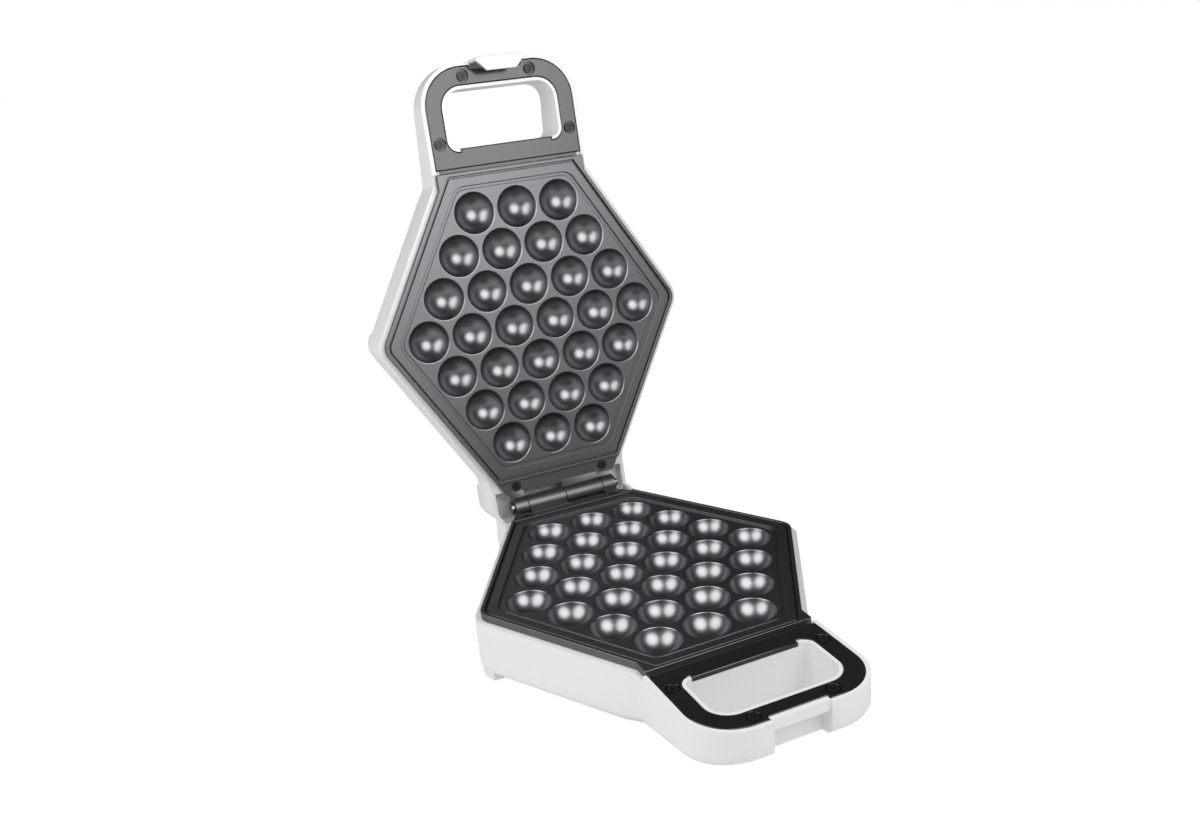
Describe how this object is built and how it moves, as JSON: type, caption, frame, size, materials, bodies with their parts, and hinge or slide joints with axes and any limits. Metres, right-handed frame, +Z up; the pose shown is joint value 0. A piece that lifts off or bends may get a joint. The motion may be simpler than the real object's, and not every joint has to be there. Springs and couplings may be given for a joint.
{
  "type": "bubble waffle maker",
  "caption": "Mains-heated iron for bubble waffles: hexagonal white base and hinged lid with looped handles, dark cast plates with round cups, and a latch clip, shown open.",
  "frame": {"origin": "centre of the hexagonal base's flat underside, straight below the middle of the lower plate; the feet reach 3 mm lower", "axes": "+Z up, -Y towards the handles, +Y towards the hinge, +X to the right seen from the handles"},
  "size_m": [0.2162, 0.3709, 0.3381],
  "materials": {
    "black_plastic": "glossy",
    "black_steel": "blackened steel",
    "coated_aluminium": "dark non-stick coating on cast aluminium",
    "element_sheath": "dull oxidised tube",
    "green_lens": "translucent green",
    "grey_plastic": "matt",
    "lamp_glass": "clear",
    "phenolic": "matt heat-proof",
    "red_lens": "translucent red",
    "rubber_pad": "matt",
    "sheet_aluminium": "bare pressed sheet",
    "steel": "plain steel",
    "white_plastic": "smooth satin moulding"
  },
  "bodies": {
    "base": {"base_shell": "white_plastic", "base_handle_trim": "black_plastic", "base_trim_screws": "black_steel", "lower_plate": "coated_aluminium", "lower_plate_screws": "black_steel", "lower_heating_element": "element_sheath", "lower_element_terminals": "steel", "lower_element_clamps": "steel", "lower_heat_shield": "sheet_aluminium", "lower_shield_screws": "steel", "foot_pads": "rubber_pad", "hinge_pin": "steel", "hinge_pin_clip": "steel", "cord_gland": "grey_plastic", "terminal_block": "grey_plastic", "thermal_fuse": "steel"},
    "lid": {"lid_shell": "white_plastic", "lid_handle_trim": "black_plastic", "lid_trim_screws": "black_steel", "upper_plate": "coated_aluminium", "upper_plate_screws": "black_steel", "upper_heating_element": "element_sheath", "upper_element_terminals": "steel", "upper_element_clamps": "steel", "upper_heat_shield": "sheet_aluminium", "upper_shield_screws": "steel", "thermostat": "phenolic", "power_lamp_lens": "red_lens", "ready_lamp_lens": "green_lens", "indicator_lamps": "lamp_glass", "lamp_holder": "grey_plastic", "latch_pin": "steel"},
    "latch": {"latch": "white_plastic"}
  },
  "joints": [
    {"name": "lid_hinge", "type": "hinge", "parent": "base", "child": "lid", "pos_m": [0, 0.12299, 0.04], "axis": [1, 0, 0], "range_deg": [0, 99.6]},
    {"name": "latch_pivot", "type": "hinge", "parent": "lid", "child": "latch", "pos_m": [0, 0.18389, 0.32512], "axis": [-1, 0, 0], "range_deg": [0, 30]}
  ]
}
